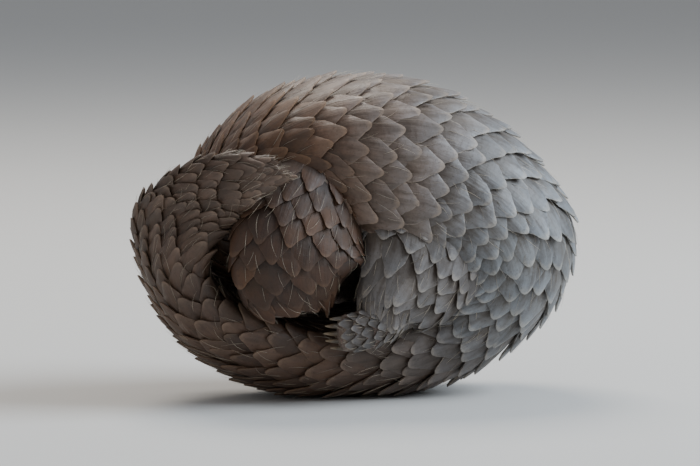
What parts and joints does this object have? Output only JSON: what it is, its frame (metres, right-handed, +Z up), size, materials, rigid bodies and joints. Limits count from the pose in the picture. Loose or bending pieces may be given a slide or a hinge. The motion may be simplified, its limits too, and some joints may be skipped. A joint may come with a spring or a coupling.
{
  "type": "rolled-up Sunda pangolin",
  "caption": "Life-size still pangolin rolled into its defensive ball: head tucked in, tail wrapped over it, overlapping horn scales, resting on its tail.",
  "frame": {"origin": "middle of the footprint of the ball's box, at the floor", "axes": "+X along the ball's long side towards the rump, +Z up, the animal's left flank faces -Y"},
  "size_m": [0.2854, 0.1719, 0.1989],
  "materials": {
    "scales": "worn keratin scales, grey-brown, satin",
    "skin": "bare greyish pink skin with short pale hair",
    "eye": "wet dark eye"
  },
  "bodies": {
    "root": {"head": "scales", "neck": "scales", "torso_shoulders": "scales", "torso_loin": "scales", "torso_rump": "scales", "tail_root": "scales", "tail_base": "scales", "tail_middle": "scales", "tail_side": "scales", "tail_fore_end": "scales", "tail_tip": "scales", "foreleg_left": "scales", "foreleg_right": "scales", "hindleg_left": "scales", "hindleg_right": "scales", "ear_left": "skin", "ear_right": "skin", "eye_left": "eye", "eye_right": "eye"}
  },
  "joints": []
}
